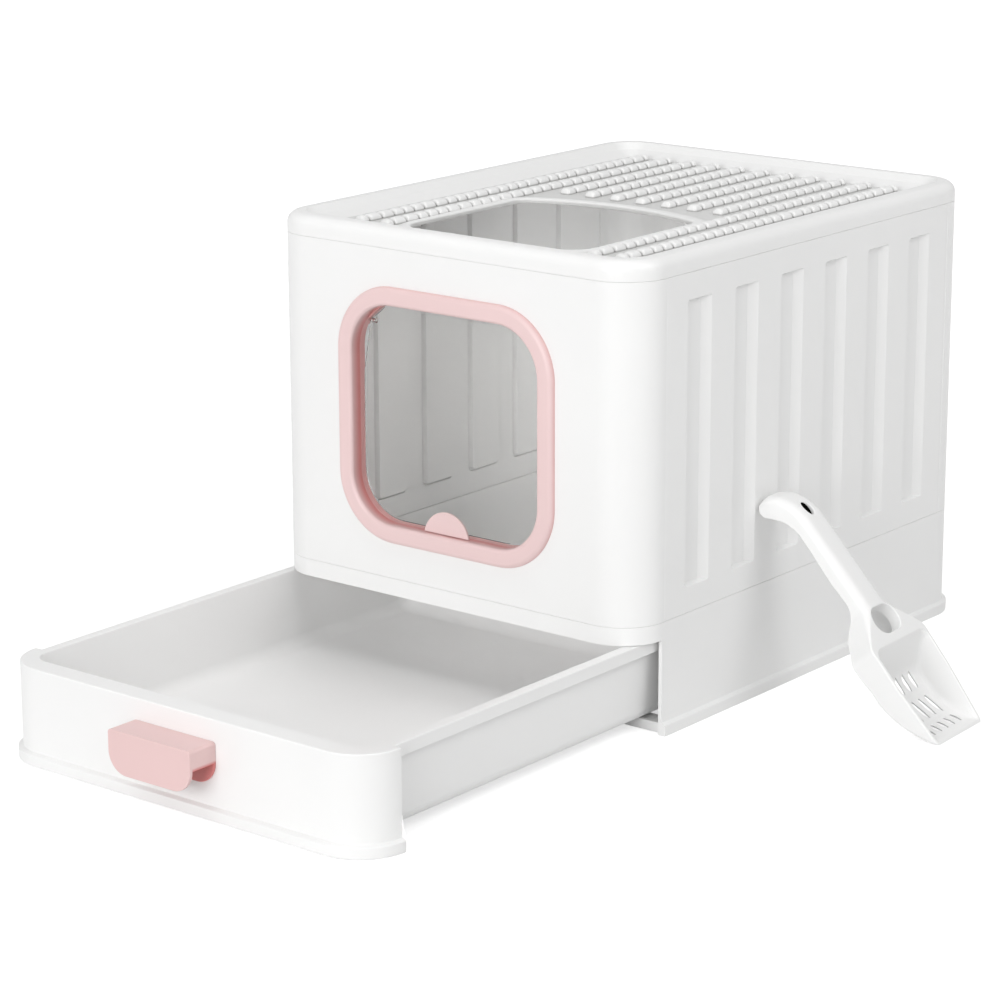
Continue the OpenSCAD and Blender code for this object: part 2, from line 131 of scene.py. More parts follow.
def isSeen(tree):
    # 1 where the ray comes from the camera or through a clear sheet, less where it is a reflection
    path = addNode(tree, "LightPath", {})
    value = addNode(tree, "Math", {0: path["Is Glossy Ray"], 1: studio["mirrored"]}, "MULTIPLY")[0]
    for name in ("Is Camera Ray", "Is Transmission Ray"):
        value = addNode(tree, "Math", {0: path[name], 1: value}, "MAXIMUM")[0]
    return value


def addStudio(studio):
    # soft boxes and an even light on the object, in a world that is seen as white
    world = bpy.data.worlds.new("studio")
    bpy.context.scene.world = world
    world.use_nodes = True
    tree = world.node_tree
    tree.nodes.clear()
    fill, white = (addNode(tree, "Background", {"Color": (1, 1, 1, 1), "Strength": strength})[0]
                   for strength in (studio["fill"], 1.0))
    addNode(tree, "OutputWorld", {0: addNode(tree, "MixShader", {0: isSeen(tree), 1: fill, 2: white})[0]})
    for name, lamp in studio["lamps"].items():
        addLamp(name, *lamp)


def addFloor(studio):
    # paper that keeps the shadow and, where it is seen, glows more the further it is from the middle
    half = studio["floorSize"] / 2
    mesh = bpy.data.meshes.new("floor")
    corners = [(-half, -half, 0), (half, -half, 0), (half, half, 0), (-half, half, 0)]
    mesh.from_pydata(corners, [], [(0, 1, 2, 3)])
    material = bpy.data.materials.new("floorPaper")
    material.use_nodes = True
    tree = material.node_tree
    tree.nodes.clear()
    paper = addNode(tree, "BsdfDiffuse", {"Color": (*[studio["paper"]] * 3, 1)})[0]
    length = addNode(tree, "VectorMath", {0: objectSpot(tree)}, "LENGTH")["Value"]
    glow = addNode(tree, "Emission", {"Strength": remap(tree, length, *studio["glow"])})[0]
    both = addNode(tree, "AddShader", {0: paper, 1: glow})[0]
    addNode(tree, "OutputMaterial", {0: addNode(tree, "MixShader", {0: isSeen(tree), 1: paper, 2: both})[0]})
    mesh.materials.append(material)
    addObject("floor", mesh)


addCamera(cameraView)
addStudio(studio)
addFloor(studio)
bpy.context.scene.view_settings.view_transform = "Standard"
print("camera and studio ready")

mould = {"patches": 9, "roughness": 0.33, "grain": 1400, "bump": 0.012}
whitePlastic = {**mould, "colour": (0.885, 0.885, 0.88), "shade": 0.975}
pinkPlastic = {**mould, "colour": (0.82, 0.615, 0.61), "shade": 0.96}
# painted shade: darker colours that the plain ones go over to, and between which places in mm
# painted shade: the bezel's pink turns a deep red-pink going back into the doorway's tunnel, where shade
# falls
tunnelShadePink = {"colour": (0.68, 0.25, 0.24), "axis": "Y", "from": -3.2, "to": 4.5}
# painted shade: deep red on the back plate below the grip's underside, in the handle's cup where shade falls
cupShadePink = {"colour": (0.66, 0.22, 0.21), "axis": "Y", "from": -319.4, "to": -318.2, "below": 44}
# painted shade: the lid deck dims towards its floor, standing in for the shade between the ridges and the
# rims
deckShadeWhite = {"colour": (0.68, 0.68, 0.672), "axis": "Z", "from": 351.7, "to": 350.3}
# painted shade: the ridges turn grey at their feet and in the notches between bumps, where shade falls
footShadeGrey = {"colour": (0.42, 0.42, 0.41), "axis": "Z", "from": 351.5, "to": 350.35}


def newFinish(name, inputs):
    # a material, its tree and its shader with the values that are the same all over
    material = bpy.data.materials.new(name)
    material.use_nodes = True
    tree = material.node_tree
    shader = tree.nodes["Principled BSDF"]
    feed(tree, shader, inputs)
    return material, tree, shader


def ramp(tree, value, low, high, places=(0, 1), interpolation="LINEAR"):
    # the low colour up to the first place, the high one from the second, and a blend between
    node = tree.nodes.new("ShaderNodeValToRGB")
    node.color_ramp.interpolation = interpolation
    for element, place, colour in zip(node.color_ramp.elements, places, (low, high)):
        element.position, element.color = place, (*colour, 1)
    feed(tree, node, {"Fac": value})
    return node.outputs["Color"]


def mouldedPlastic(name, look, **changes):
    # colour = mix of the colour and a slightly darker one by slow noise;
    # roughness = its value plus or minus a twentieth by the same noise; bump = fine mould grain
    look = {**look, **changes}
    material, tree, shader = newFinish(name, {"IOR": 1.46})
    slow, grain = noise(tree, look["patches"]), noise(tree, look["grain"])
    dark = [c * look["shade"] for c in look["colour"]]
    bump = addNode(tree, "Bump", {"Strength": look["bump"], "Distance": 0.0003, "Height": grain})
    tint = ramp(tree, slow, dark, look["colour"], (0.05, 0.95), "EASE")
    sheen = remap(tree, slow, 0, 1, look["roughness"] - 0.05, look["roughness"] + 0.05)
    feed(tree, shader, {"Base Color": tint, "Roughness": sheen, "Normal": bump["Normal"]})
    return material


def paintShadeAlong(material, deep):
    # painted shade: the colour goes over to a darker one along an axis, in some only below a height; Y is
    # from the front
    tree = material.node_tree
    shader = tree.nodes["Principled BSDF"]
    axes = addNode(tree, "SeparateXYZ", {0: objectSpot(tree)})
    origin = frontPlane if deep["axis"] == "Y" else 0
    shadeAmount = remap(tree, axes[deep["axis"]], origin + deep["from"] * mm, origin + deep["to"] * mm)
    if "below" in deep:
        under = remap(tree, axes["Z"], (deep["below"] + 1) * mm, (deep["below"] - 1) * mm)
        shadeAmount = addNode(tree, "Math", {0: shadeAmount, 1: under}, "MULTIPLY")[0]
    blend = tree.nodes.new("ShaderNodeMix")
    blend.data_type = "RGBA"
    plain, shadeColour = (socket for socket in blend.inputs if socket.type == "RGBA")
    shadeColour.default_value = (*deep["colour"], 1)
    tree.links.new(shadeAmount, blend.inputs["Factor"])
    tree.links.new(shader.inputs["Base Color"].links[0].from_socket, plain)
    feed(tree, shader, {"Base Color": next(socket for socket in blend.outputs if socket.type == "RGBA")})
    return material


def clearPlastic(name):
    # a clear sheet that lets lamp light straight through, with a faint cloudiness in its gloss
    clear = {"Base Color": (0.985, 0.98, 0.97, 1), "Transmission Weight": 1, "IOR": 1.2}
    material, tree, shader = newFinish(name, clear)
    feed(tree, shader, {"Roughness": remap(tree, noise(tree, 30), 0, 1, 0.02, 0.06)})
    shadow = addNode(tree, "LightPath", {})["Is Shadow Ray"]
    through = addNode(tree, "BsdfTransparent", {})[0]
    mix = addNode(tree, "MixShader", {0: shadow, 1: shader.outputs[0], 2: through})[0]
    feed(tree, tree.nodes["Material Output"], {"Surface": mix})
    return material


def brightSteel(name):
    # polished wire with fine drawing lines in its roughness
    material, tree, shader = newFinish(name, {"Base Color": (0.74, 0.73, 0.72, 1), "Metallic": 1})
    feed(tree, shader, {"Roughness": remap(tree, noise(tree, 900), 0, 1, 0.15, 0.32)})
    return material


def hollowShadeSheet(name):
    # a near-black sheet of painted shade, standing in for the unlit inside of the hang hole
    material, tree, shader = newFinish(name, {"Roughness": 0.9, "Specular IOR Level": 0.1})
    feed(tree, shader, {"Base Color": ramp(tree, noise(tree, 400), [0.0015] * 3, [0.004] * 3)})
    return material


finishes = {
    "white_plastic": mouldedPlastic("whitePlastic", whitePlastic),
    "pink_plastic": mouldedPlastic("pinkPlastic", pinkPlastic),
    "clear_flap": clearPlastic("clearPlastic"),
    "pin_steel": brightSteel("pinSteel"),
}
# bezel pink with painted shade deepening it inside the doorway's tunnel
doorwayShadedPink = paintShadeAlong(mouldedPlastic("doorwayShadedPink", pinkPlastic), tunnelShadePink)
# a deeper pink than the plain one: painted shade for the retainer ring, which sits back in the doorway's
# tunnel
retainerShadedPink = mouldedPlastic("retainerShadedPink", pinkPlastic, colour=(0.72, 0.38, 0.37))
# lid deck white with painted shade that darkens its floor
lidDeckShadedWhite = paintShadeAlong(mouldedPlastic("lidDeck", whitePlastic), deckShadeWhite)
# ridge white with painted shade grey at the feet and in the notches
lidRidgeFootShaded = paintShadeAlong(mouldedPlastic("lidRidge", whitePlastic), footShadeGrey)
# a darker copy of the pink as painted shade against the stronger lamp light on the handle, with painted shade
# deep red in its cup
handleShadedPink = paintShadeAlong(mouldedPlastic("handleShadedPink", pinkPlastic, colour=(0.77, 0.55, 0.54)), cupShadePink)
# a touch lighter than the plain white: painted light that brightens the scoop and its bowl
scoopLightenedWhite = mouldedPlastic("scoopLightenedWhite", whitePlastic, colour=(0.89, 0.89, 0.885), roughness=0.45)
hangShadeSheet = hollowShadeSheet("hollowShadeSheet")
print("materials ready")


def gridFaces(rows, columns, closeRows=False, closeColumns=False, first=0):
    # quads between neighbours of a grid whose point (r, c) has index first + r * columns + c
    r = np.arange(rows if closeRows else rows - 1)[:, None]
    c = np.arange(columns if closeColumns else columns - 1)[None, :]
    nextR, nextC = (r + 1) % rows, (c + 1) % columns
    corners = [r * columns + c, r * columns + nextC, nextR * columns + nextC, nextR * columns + c]
    return (np.stack(np.broadcast_arrays(*corners), -1).reshape(-1, 4) + first).tolist()


def roundCorners(points, radii, steps=6):
    # each corner gives way to an arc of its radius, tangent to both sides
    points = np.array(points, float)
    outline = []
    for i, radius in enumerate(radii):
        before, here, after = points[i - 1], points[i], points[(i + 1) % len(points)]
        if radius <= 0:
            outline.append(here[None])
            continue
        a, b = before - here, after - here
        lengthA, lengthB = np.linalg.norm(a), np.linalg.norm(b)
        a, b = a / lengthA, b / lengthB
        half = math.acos(np.clip(a @ b, -1, 1)) / 2
        wayA = 0.998 * lengthA * radius / (radius + radii[i - 1])
        wayB = 0.998 * lengthB * radius / (radius + radii[(i + 1) % len(points)])
        reach = min(radius / math.tan(half), wayA, wayB)
        radius = reach * math.tan(half)
        middle = here + (a + b) / np.linalg.norm(a + b) * radius / math.sin(half)
        start, end = here + a * reach - middle, here + b * reach - middle
        sweep = math.pi - 2 * half
        share = np.linspace(0, 1, steps + 1)[:, None]
        arc = np.sin((1 - share) * sweep) * start + np.sin(share * sweep) * end
        outline.append(middle + arc / math.sin(sweep))
    return np.concatenate(outline)


def arcStations(*arcs):
    # centres and outward directions along a run of arcs; each arc is (x, y, from, to, steps) in degrees
    centres, directions = [], []
    for x, y, start, end, steps in arcs:
        angle = np.radians(np.linspace(start, end, steps + 1))
        centres.append(np.tile((x, y), (steps + 1, 1)))
        directions.append(np.stack([np.cos(angle), np.sin(angle)], 1))
    return np.concatenate(centres), np.concatenate(directions)


def roundedLoop(width, depth, radius, front, steps):
    # stations once round a rounded rectangle that starts at y = front and is centred on x
    x, near, far = width / 2 - radius, front + radius, front + depth - radius
    return arcStations((x, far, 0, 90, steps), (-x, far, 90, 180, steps),
                       (-x, near, 180, 270, steps), (x, near, 270, 360, steps))


def rearRun(x, near, far, steps):
    # stations from the right side round both rear corners to the left side
    return arcStations((x, near, 0, 0, 0), (x, far, 0, 90, steps),
                       (-x, far, 90, 180, steps), (-x, near, 180, 180, 0))


def carry(stations, profile):
    # point = station centre + outward direction times the profile's first value, at its second as height
    centres, directions = stations
    flat = centres[:, None] + directions[:, None] * profile[..., 0:1]
    height = np.broadcast_to(profile[..., 1:2], flat.shape[:2] + (1,))
    return np.concatenate([flat, height], -1)


def atLevel(plan, level):
    # points in plan with one height for all, or one for each
    return np.column_stack([plan, np.full(len(plan), level)])


def smoothStep(value, low, high):
    # 0 up to low and 1 from high, level at both; three squares less two cubes of the share between
    share = np.clip((value - low) / (high - low), 0, 1)
    return share * share * (3 - 2 * share)


def addShape(name, *parts):
    # parts are pairs of points in mm from the front plane and faces; all become one object in the frame
    faces, count = [], 0
    for partPoints, partFaces in parts:
        faces += [[i + count for i in face] for face in partFaces]
        count += partPoints.size // 3
    points = np.concatenate([partPoints.reshape(-1, 3) for partPoints, _ in parts]) * mm
    points[:, 1] += frontPlane
    mesh = bpy.data.meshes.new(name)
    mesh.from_pydata(points.tolist(), [], faces)
    work = bmesh.new()
    work.from_mesh(mesh)
    bmesh.ops.remove_doubles(work, verts=work.verts, dist=0.004 * mm)
    bmesh.ops.dissolve_degenerate(work, edges=work.edges, dist=0.0001 * mm)
    bmesh.ops.recalc_face_normals(work, faces=work.faces)
    work.to_mesh(mesh)
    work.free()
    return addObject(name, mesh)


def applyModifiers(piece):
    bpy.context.view_layer.update()
    shape = bpy.data.meshes.new_from_object(piece.evaluated_get(bpy.context.evaluated_depsgraph_get()))
    piece.modifiers.clear()
    piece.data = shape


def cutAway(piece, cutters):
    for cutter in cutters:
        cut = piece.modifiers.new("cut", "BOOLEAN")
        cut.operation, cut.solver, cut.object = "DIFFERENCE", "EXACT", cutter
    applyModifiers(piece)
    for cutter in cutters:
        bpy.data.objects.remove(cutter)


def addPiece(piece, body, *replaced, slotName="white_plastic", sharp=32, cutters=(), finish=None):
    # cuts the piece's holes, shades it smooth by angle, weights its normals by area and gives it to its body
    if cutters:
        cutAway(piece, cutters)
    piece.data.polygons.foreach_set("use_smooth", np.ones(len(piece.data.polygons), bool))
    piece.data.set_sharp_from_angle(angle=math.radians(sharp))
    weights = piece.modifiers.new("normals", "WEIGHTED_NORMAL")
    weights.keep_sharp = True
    applyModifiers(piece)
    piece.data.materials.append(finish or finishes[slotName])
    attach(piece, body)
    if replaced:
        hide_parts(*replaced)


def ringPart(points, closed=True, caps=True):
    # faces of a swept section, with the two ends filled where the run is open
    rows, columns = points.shape[:2]
    faces = gridFaces(rows, columns, closeRows=closed, closeColumns=True)
    if caps and not closed:
        faces += [list(range(columns)), list(range((rows - 1) * columns, rows * columns))[::-1]]
    return points, faces


def filledPart(points):
    # the same for closed outlines that run down the columns
    return ringPart(np.swapaxes(points, 0, 1), closed=False)


def boxPart(low, high, radius):
    # a bar along x whose section, in y and z, has rounded corners
    section = roundCorners([(low[1], low[2]), (high[1], low[2]), (high[1], high[2]), (low[1], high[2])],
                           [radius] * 4, 3)
    ends = [np.column_stack([np.full(len(section), x), section]) for x in (low[0], high[0])]
    return ringPart(np.stack(ends), closed=False)


housing = {
    "width": 352.0, "depth": 458.0, "corner": 36.2, "wall": 3.0, "edge": 0.35,
    "baseTop": 88.0, "wallTop": 345.0, "mouth": 74.4, "lap": 1.5, "lapHeight": 4.0,
    "footHeight": 10.0, "footRise": 1.4, "footOut": 3.6, "tongue": 3.0,
    "sillFront": 40.5, "sillDepth": 16.0, "sillHeight": 8.0,
    "seamWidth": 2.7, "seamSlope": 0.4, "seamDepth": 0.15, "gap": 0.12, "arcSteps": 24,
    "lipOut": 1.5, "lipReach": 8.0, "lipRoot": 2.0, "lipLow": 4.0, "lipTop": 12.0,  # behind the end panels
}
cornerX = housing["width"] / 2 - housing["corner"]
nearY = housing["corner"]
farY = housing["depth"] - housing["corner"]


def baseSection(h):
    # closed section of the base's wall, with a point on both faces at the height of the drawer's mouth
    c, wall, out, mouth = h["corner"], h["wall"], h["footOut"], h["mouth"]
    top, foot = h["baseTop"], h["footHeight"]
    corners = [(c - wall, 0), (c + out, 0), (c + out, foot - h["footRise"]), (c, foot), (c, mouth), (c, top),
               (c - h["lap"], top), (c - h["lap"], top - h["lapHeight"]), (c - wall, top - h["lapHeight"]),
               (c - wall, mouth)]
    return roundCorners(corners, [0.4, 0.5, 1.0, 0.5, 0, 0.3, 0.2, 0.2, 0.3, 0], 4)


def buildBase(h):
    # the whole section runs round the back; over the drawer only what lies above the mouth goes on
    section = baseSection(h)
    above = section[:, 1] > h["mouth"] - 0.001
    below = [int(i) for i in np.flatnonzero(section[:, 1] < h["mouth"] + 0.001)]
    steps = h["arcSteps"]
    back = carry(rearRun(cornerX, nearY, farY, steps), section)
    corners = arcStations((-cornerX, nearY, 180, 270, steps), (cornerX, nearY, 270, 360, steps))
    front = carry(corners, section[above])
    points, faces = ringPart(back, closed=False, caps=False)
    last = (len(back) - 1) * len(section)
    faces += [below, [last + i for i in below[::-1]]]
    half = (h["width"] - h["wall"]) / 2
    sills = [boxPart((-half, y, 0), (half, y + h["sillDepth"], h["sillHeight"]), 0.8)
             for y in (h["sillFront"], h["depth"] - h["sillFront"] - h["sillDepth"])]
    base = addShape("baseHousing", (points, faces), ringPart(front, closed=False, caps=False), *sills)
    addPiece(base, "housing", "base_housing")


def panelSection(h):
    # closed section of a panel's wall with the tongue that drops behind the base
    c, low, top, base = h["corner"], h["baseTop"] - h["tongue"], h["wallTop"], h["baseTop"]
    outside, inside, lap = c - h["wall"], c - h["wall"] + 0.4, c - h["lap"] - 0.1
    corners = [(c, base + h["gap"]), (c, top), (outside, top), (outside, base + 2), (inside, base + 1.6),
               (inside, low), (lap, low), (lap, base + h["gap"])]
    return roundCorners(corners, [h["edge"], h["edge"], h["edge"], 0.2, 0.2, 0.3, 0.3, 0], 4)


def buildEndPanel(name, h, y, sign, node, cutters=()):
    # the section runs from one side round both corners; sign is -1 in front and 1 at the back
    steps = h["arcSteps"]
    stations = arcStations((cornerX, y, 0, sign * 90, steps), (-cornerX, y, sign * 90, sign * 180, steps))
    panel = addShape(name, ringPart(carry(stations, panelSection(h)), closed=False))
    addPiece(panel, "housing", node, cutters=cutters)


door = {
    "width": 179.0, "height": 171.0, "low": 131.0, "radius": 38.0,
    "ring": 14.5, "crown": 4.5, "innerEdge": 3.0, "outerEdge": 4.5, "tunnel": 2.0, "tunnelEnd": 7.0,
    "play": 0.2, "cut": 20.0,  # room round the tunnel, and how far the wall is cut each way
    "hinge": (10.2, 286.0),  # depth and height of the pins' axis
    "pin": (75.5, 87.9, 1.2, 0.3), "knuckle": (74.5, 78.8, 2.2, 0.4),  # start, end, radius and chamfer
    "flapHalf": 87.4, "flapLow": 132.2, "flapThick": 2.0, "flapEdge": 0.4,
    "flapTaper": ((87.4, 245.3), (80.8, 285.5), (66.0, 297.7)),  # where the flap draws in near its top
    "flapRadii": (38, 38, 25, 3, 2, 2, 3, 25),
}


def doorRing(section, grow, steps, d):
    # carries a section round the doorway's outline, grown a little; its second value is depth outwards
    width, height = d["width"] + 2 * grow, d["height"] + 2 * grow
    points = carry(roundedLoop(width, height, d["radius"] + grow, d["low"] - grow, steps), section)
    return np.stack([points[..., 0], -points[..., 2], points[..., 1]], -1)


def doorCutter(d):
    # the tunnel's outline and a little play, straight through the wall
    grow = d["tunnel"] + d["play"]
    section = np.array([(d["radius"] + grow, -d["cut"]), (d["radius"] + grow, d["cut"])])
    return addShape("doorCutter", filledPart(doorRing(section, grow, 16, d)))


channel = {
    "count": 6, "pitch": 60.0, "width": 30.0, "slope": 9.0, "step": 1.6, "depth": 4.0,
    "low": 108.0, "high": 325.0, "radius": 3.0,
    "backOut": 3.0, "backGrow": 3.5, "backSlope": 1.0, "groove": 1.9, "grooveWidth": 1.3,
}
firstChannel = (housing["depth"] - (channel["count"] - 1) * channel["pitch"]) / 2


def roundedDistance(a, b, halfA, halfB, radius):
    # distance outside a rounded rectangle, negative inside
    qa, qb = np.abs(a) - halfA + radius, np.abs(b) - halfB + radius
    outside = np.hypot(np.maximum(qa, 0), np.maximum(qb, 0))
    return outside + np.minimum(np.maximum(qa, qb), 0) - radius


def channelSpot(y, z, c):
    # distance across and along from the middle of the nearest channel
    place = np.clip(np.round((y - firstChannel) / c["pitch"]), 0, c["count"] - 1)
    return y - firstChannel - place * c["pitch"], z - (c["low"] + c["high"]) / 2


def channelDepth(y, z, c):
    # a steep rounded step all round the outline, and a long slope at the far side
    across, along = channelSpot(y, z, c)
    inside = -roundedDistance(across, along, c["width"] / 2, (c["high"] - c["low"]) / 2, c["radius"])
    slope = np.clip((c["width"] / 2 - across) / c["slope"], 0, 1)
    return c["depth"] * np.minimum(smoothStep(inside, 0, c["step"]), slope)


def backHeight(y, z, c):
    # the raised field behind a channel: a short steep edge round a rounded rectangle, a groove at its foot
    across, along = channelSpot(y, z, c)
    half = (c["high"] - c["low"]) / 2 + c["backGrow"]
    inside = -roundedDistance(across, along, c["width"] / 2 + c["backGrow"], half, c["radius"] + 1)
    groove = np.clip(1 - np.abs(2 * inside / c["grooveWidth"] + 1), 0, 1) * c["groove"]
    return c["backOut"] * np.clip(inside / c["backSlope"], 0, 1) - groove


def splitLines(edges, counts):
    # rows of even steps between the listed edges
    parts = [np.linspace(a, b, n, endpoint=False) for a, b, n in zip(edges[:-1], edges[1:], counts)]
    return np.concatenate(parts + [np.array(edges[-1:], float)])


def panelLines(h, c):
    # places of the grid's lines along y and z: close together where the channels and the fields bend
    rebate, reach, slack = h["seamWidth"], c["grooveWidth"] + 0.1, h["seamSlope"] / 2
    half, back, crease = c["width"] / 2, c["width"] / 2 + c["backGrow"], c["width"] / 2 - c["slope"]
    steep = c["backSlope"] + 0.1
    marks = np.array([-back - reach, -back, -back + steep, -half - 0.1, -half + c["step"] + 0.1, crease - 0.3,
                      crease + 0.3, half - 0.7, half + 0.1, back - steep, back, back + reach])
    edges, counts = [nearY, nearY + rebate - slack, nearY + rebate + slack], [1, 2]
    for i in range(c["count"]):
        edges += list(firstChannel + i * c["pitch"] + marks)
        counts += [4, 4, 2, 7, 5, 2, 4, 4, 2, 4, 4, 3]
    y = splitLines(edges + [farY - rebate - slack, farY - rebate + slack, farY], counts + [3, 2, 1])
    low, high = c["low"] - c["backGrow"], c["high"] + c["backGrow"]
    bottom, top = h["baseTop"] + h["gap"], h["wallTop"]
    z = splitLines([bottom, bottom + h["edge"], low - reach, low, low + steep, c["low"] - slack, c["low"] + 6,
                    c["high"] - 6, c["high"] + slack, high - steep, high, high + reach, top - h["edge"], top],
                   [3, 3, 4, 3, 3, 20, 10, 20, 3, 3, 4, 3, 3])
    return np.meshgrid(y, z, indexing="ij")


def buildSidePanel(name, h, c, side, node):
    # grid over the panel: outer face less channels, seams and edge rounding; inner face plus raised fields
    yy, zz = panelLines(h, c)
    half, slope, edge = h["width"] / 2, h["seamSlope"], h["edge"]
    inward = h["seamWidth"] + slope / 2 - np.minimum(yy - nearY, farY - yy)
    seam = np.clip(inward / slope, 0, 1) * h["seamDepth"]
    rim = np.minimum(zz - zz[0, 0], h["wallTop"] - zz)
    rounding = edge - np.sqrt(edge ** 2 - np.maximum(edge - rim, 0) ** 2)
    outer = np.stack([side * (half - channelDepth(yy, zz, c) - seam - rounding), yy, zz], -1)
    inner = np.stack([side * (half - h["wall"] - backHeight(yy, zz, c)), yy, zz], -1)
    rows, columns = yy.shape
    total = rows * columns
    faces = gridFaces(rows, columns) + gridFaces(rows, columns, first=total)
    index = np.arange(total).reshape(rows, columns)
    border = np.concatenate([index[:, 0], index[-1, 1:], index[-2::-1, -1], index[0, -2:0:-1]])
    faces += [[int(a), int(b), int(b) + total, int(a) + total] for a, b in zip(border, np.roll(border, -1))]
    # a tongue below, behind the base's outer half, and lips behind the front and back panels
    base, wall = h["baseTop"], half - h["wall"]
    x0, x1 = sorted((side * (half - h["lap"] - 0.1), side * (wall + 0.4)))
    extras = [boxPart((x0, nearY, base - h["tongue"]), (x1, farY, base + 1), 0.2)]
    x0, x1 = sorted((side * (wall - h["lipOut"]), side * (wall + 0.1)))
    reach, root = h["lipReach"], h["lipRoot"]
    for y0, y1 in ((nearY - reach, nearY + root), (farY - root, farY + reach)):
        extras.append(boxPart((x0, y0, base + h["lipLow"]), (x1, y1, h["wallTop"] - h["lipTop"]), 0.3))
    addPiece(addShape(name, (np.stack([outer, inner]), faces), *extras), "housing", node)


buildBase(housing)
buildEndPanel("frontPanel", housing, nearY, -1, "front_panel", cutters=[doorCutter(door)])
buildEndPanel("backPanel", housing, farY, 1, "back_panel")
buildSidePanel("rightPanel", housing, channel, 1, "right_panel")
buildSidePanel("leftPanel", housing, channel, -1, "left_panel")
print("housing built")


def buildBezel(d):
    # ring with rounded inner and outer edges, and the tunnel behind its inner edge
    r, w = d["radius"], d["ring"]
    corners = [(r, -d["tunnelEnd"]), (r + d["tunnel"], -d["tunnelEnd"]), (r + d["tunnel"], 0), (r + w, 0),
               (r + w, d["crown"]), (r, d["crown"])]
    section = roundCorners(corners, [0.3, 0.3, 0, 0.1, d["outerEdge"], d["innerEdge"]], 8)
    bezel = addShape("windowBezel", ringPart(doorRing(section, w, 24, d)))
    addPiece(bezel, "housing", "window_bezel", slotName="pink_plastic", finish=doorwayShadedPink)


def softCopy(node, name, body, width, segments=3, finish=None):
    # a merged copy of a CAD node with its flat faces joined and its edges rounded
    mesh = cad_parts[node].data.copy()
    mesh.materials.clear()
    work = bmesh.new()
    work.from_mesh(mesh)
    bmesh.ops.remove_doubles(work, verts=work.verts, dist=1e-6)
    bmesh.ops.dissolve_limit(work, angle_limit=math.radians(0.5), verts=work.verts, edges=work.edges)
    work.to_mesh(mesh)
    work.free()
    piece = addObject(name, mesh)
    bevel = piece.modifiers.new("edges", "BEVEL")
    bevel.width, bevel.segments, bevel.angle_limit = width * mm, segments, math.radians(30)
    applyModifiers(piece)
    addPiece(piece, body, node, slotName="pink_plastic", finish=finish)


def rodPart(start, end, radius, chamfer, side, d):
    # a chamfered profile of (x, radius) turned about the hinge axis
    x, r = np.transpose([(start, 0), (start, radius - chamfer), (start + chamfer, radius),
                         (end - chamfer, radius), (end, radius - chamfer), (end, 0)])
    depth, height = d["hinge"]
    angle = np.linspace(0, 2 * math.pi, 28, endpoint=False)[:, None]
    grid = np.broadcast_arrays(side * x, depth + r * np.cos(angle), height + r * np.sin(angle))
    return np.stack(grid, -1), gridFaces(*grid[0].shape, closeRows=True)


def buildFlap(d):
    # outline drawn in towards the pins, carried over a small half-round edge between its two faces
    half, low, taper = d["flapHalf"], d["flapLow"], list(d["flapTaper"])
    corners = [(-half, low), (half, low)] + taper + [(-x, z) for x, z in taper[::-1]]
    outline = roundCorners(corners, d["flapRadii"], 12)
    along = np.roll(outline, -1, 0) - np.roll(outline, 1, 0)
    outward = np.stack([along[:, 1], -along[:, 0]], 1) / np.linalg.norm(along, axis=1)[:, None]
    edge, front = d["flapEdge"], d["hinge"][0] - d["flapThick"] / 2
    bend = np.radians(np.linspace(-90, 90, 7))
    inset = edge * (1 - np.cos(bend))
    level = np.where(bend < 0, front + edge, front + d["flapThick"] - edge) + edge * np.sin(bend)
    flat = outline[:, None] - outward[:, None] * inset[None, :, None]
    points = np.stack([flat[..., 0], np.broadcast_to(level, flat.shape[:2]), flat[..., 1]], -1)
    flap = addShape("flapSheet", filledPart(points), *[rodPart(*d["knuckle"], side, d) for side in (1, -1)])
    addPiece(flap, "flap", "flap", slotName="clear_flap")


def buildPin(name, side, node, d):
    addPiece(addShape(name, rodPart(*d["pin"], side, d)), "flap", node, slotName="pin_steel")


buildBezel(door)
softCopy("window_retainer", "windowRetainer", "housing", 0.3, finish=retainerShadedPink)
buildFlap(door)
buildPin("flapPinRight", 1, "flap_pin_right", door)
buildPin("flapPinLeft", -1, "flap_pin_left", door)
softCopy("flap_tab", "flapTab", "flap", 0.5)
print("doorway built")


lid = {
    "low": 345.1, "top": 360.4, "fillet": 9.0, "rim": 15.0, "crease": 21.0, "foot": 30.0,
    "floor": 350.0, "plate": 2.5, "tuck": 1.2, "ribDepth": 5.0, "ribInset": 3.5, "ribWidth": 1.6,
    "holeWidth": 171.0, "holeFront": 49.5, "holeSide": 200.0, "holeApex": 219.0,
    "holeRadius": 22.0, "holeRearRadius": 15.0,
    "lip": ((0.4, 348.2), (0.0, 348.6), (0.0, 350.2), (0.2, 351.0), (0.7, 351.6), (1.5, 351.95), (2.6, 352.1),
            (3.6, 352.1)),  # distance out from the hole's edge, and height
    "collarSide": 12.0, "collarBack": 20.0, "middle": (0.0, 130.0),
}


def lidRim(h, k):
    # closed section: skirt, rounded shoulder, flat rim, sloped inner side in two planes, and its underside
    c, top, floor, plate = h["corner"], k["top"], k["floor"], k["plate"]
    rim, crease, foot = c - k["rim"], c - k["crease"], c - k["foot"]
    rib, ribLow = c - k["ribInset"], h["wallTop"] - k["ribDepth"]
    ribBack = rib - k["ribWidth"]
    corners = [(c, k["low"]), (c, top), (rim, top), (crease, floor + 5), (foot, floor),
               (foot - 1, floor - 0.05), (foot - 1, floor - plate), (crease + 1.5, floor + 2.5),
               (rim + 1.5, top - plate), (ribBack, top - plate),
               (ribBack, ribLow), (rib, ribLow), (rib, k["low"])]
    radii = [h["edge"], k["fillet"], 0.8, 5, 9, 0, 0.3, 2, 2, 2, 0.4, 0.4, 0.3]
    loop = roundedLoop(h["width"], h["depth"], c, 0, h["arcSteps"])
    return ringPart(carry(loop, roundCorners(corners, radii, 8)))


